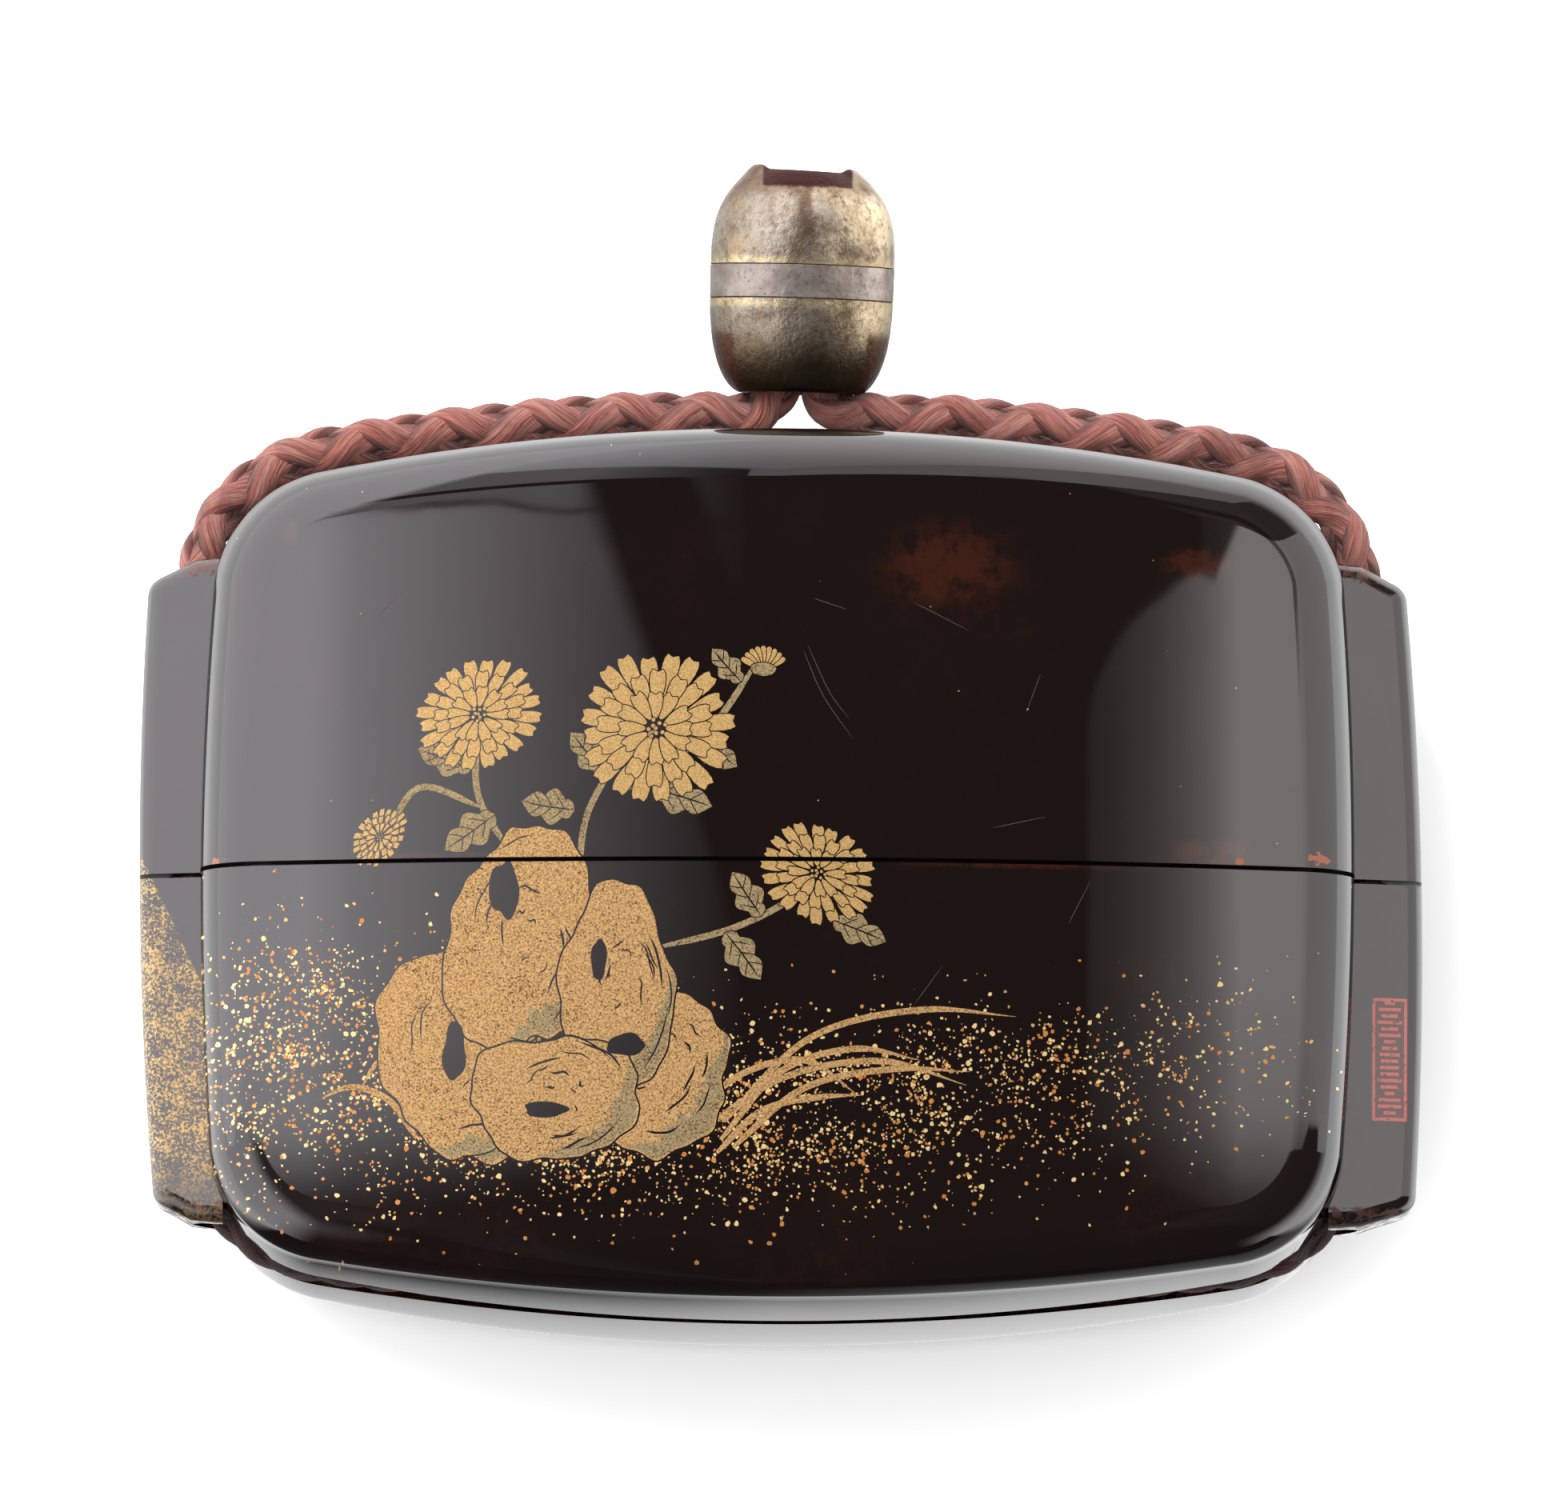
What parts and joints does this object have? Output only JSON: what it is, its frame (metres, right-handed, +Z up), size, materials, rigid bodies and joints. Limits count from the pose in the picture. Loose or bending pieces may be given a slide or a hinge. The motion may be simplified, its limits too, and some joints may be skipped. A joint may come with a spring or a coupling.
{
  "type": "inro case",
  "caption": "Low, wide lacquered inro: hollow lift-off lid and body with side cord runners, strung on a braided silk cord and closed by a barrel-shaped brass ojime bead.",
  "frame": {"origin": "under the middle of the case without its cord and bead, on the surface that its back lies on", "axes": "+X across the case, +Y from its base to the bead, +Z up out of its front, because the case lies on its back"},
  "size_m": [0.0843, 0.0776, 0.0257],
  "materials": {
    "lacquer": "polished brown-black lacquer over wood, with gold flakes and gold maki-e",
    "silk": "braided silk with a soft sheen",
    "brass": "worn satin brass with a dark patina",
    "grey_alloy": "pitted grey-mauve copper alloy"
  },
  "bodies": {
    "root": {"lid": "lacquer", "body": "lacquer", "cord": "silk", "ojime_bead": "brass", "ojime_band": "grey_alloy"}
  },
  "joints": []
}
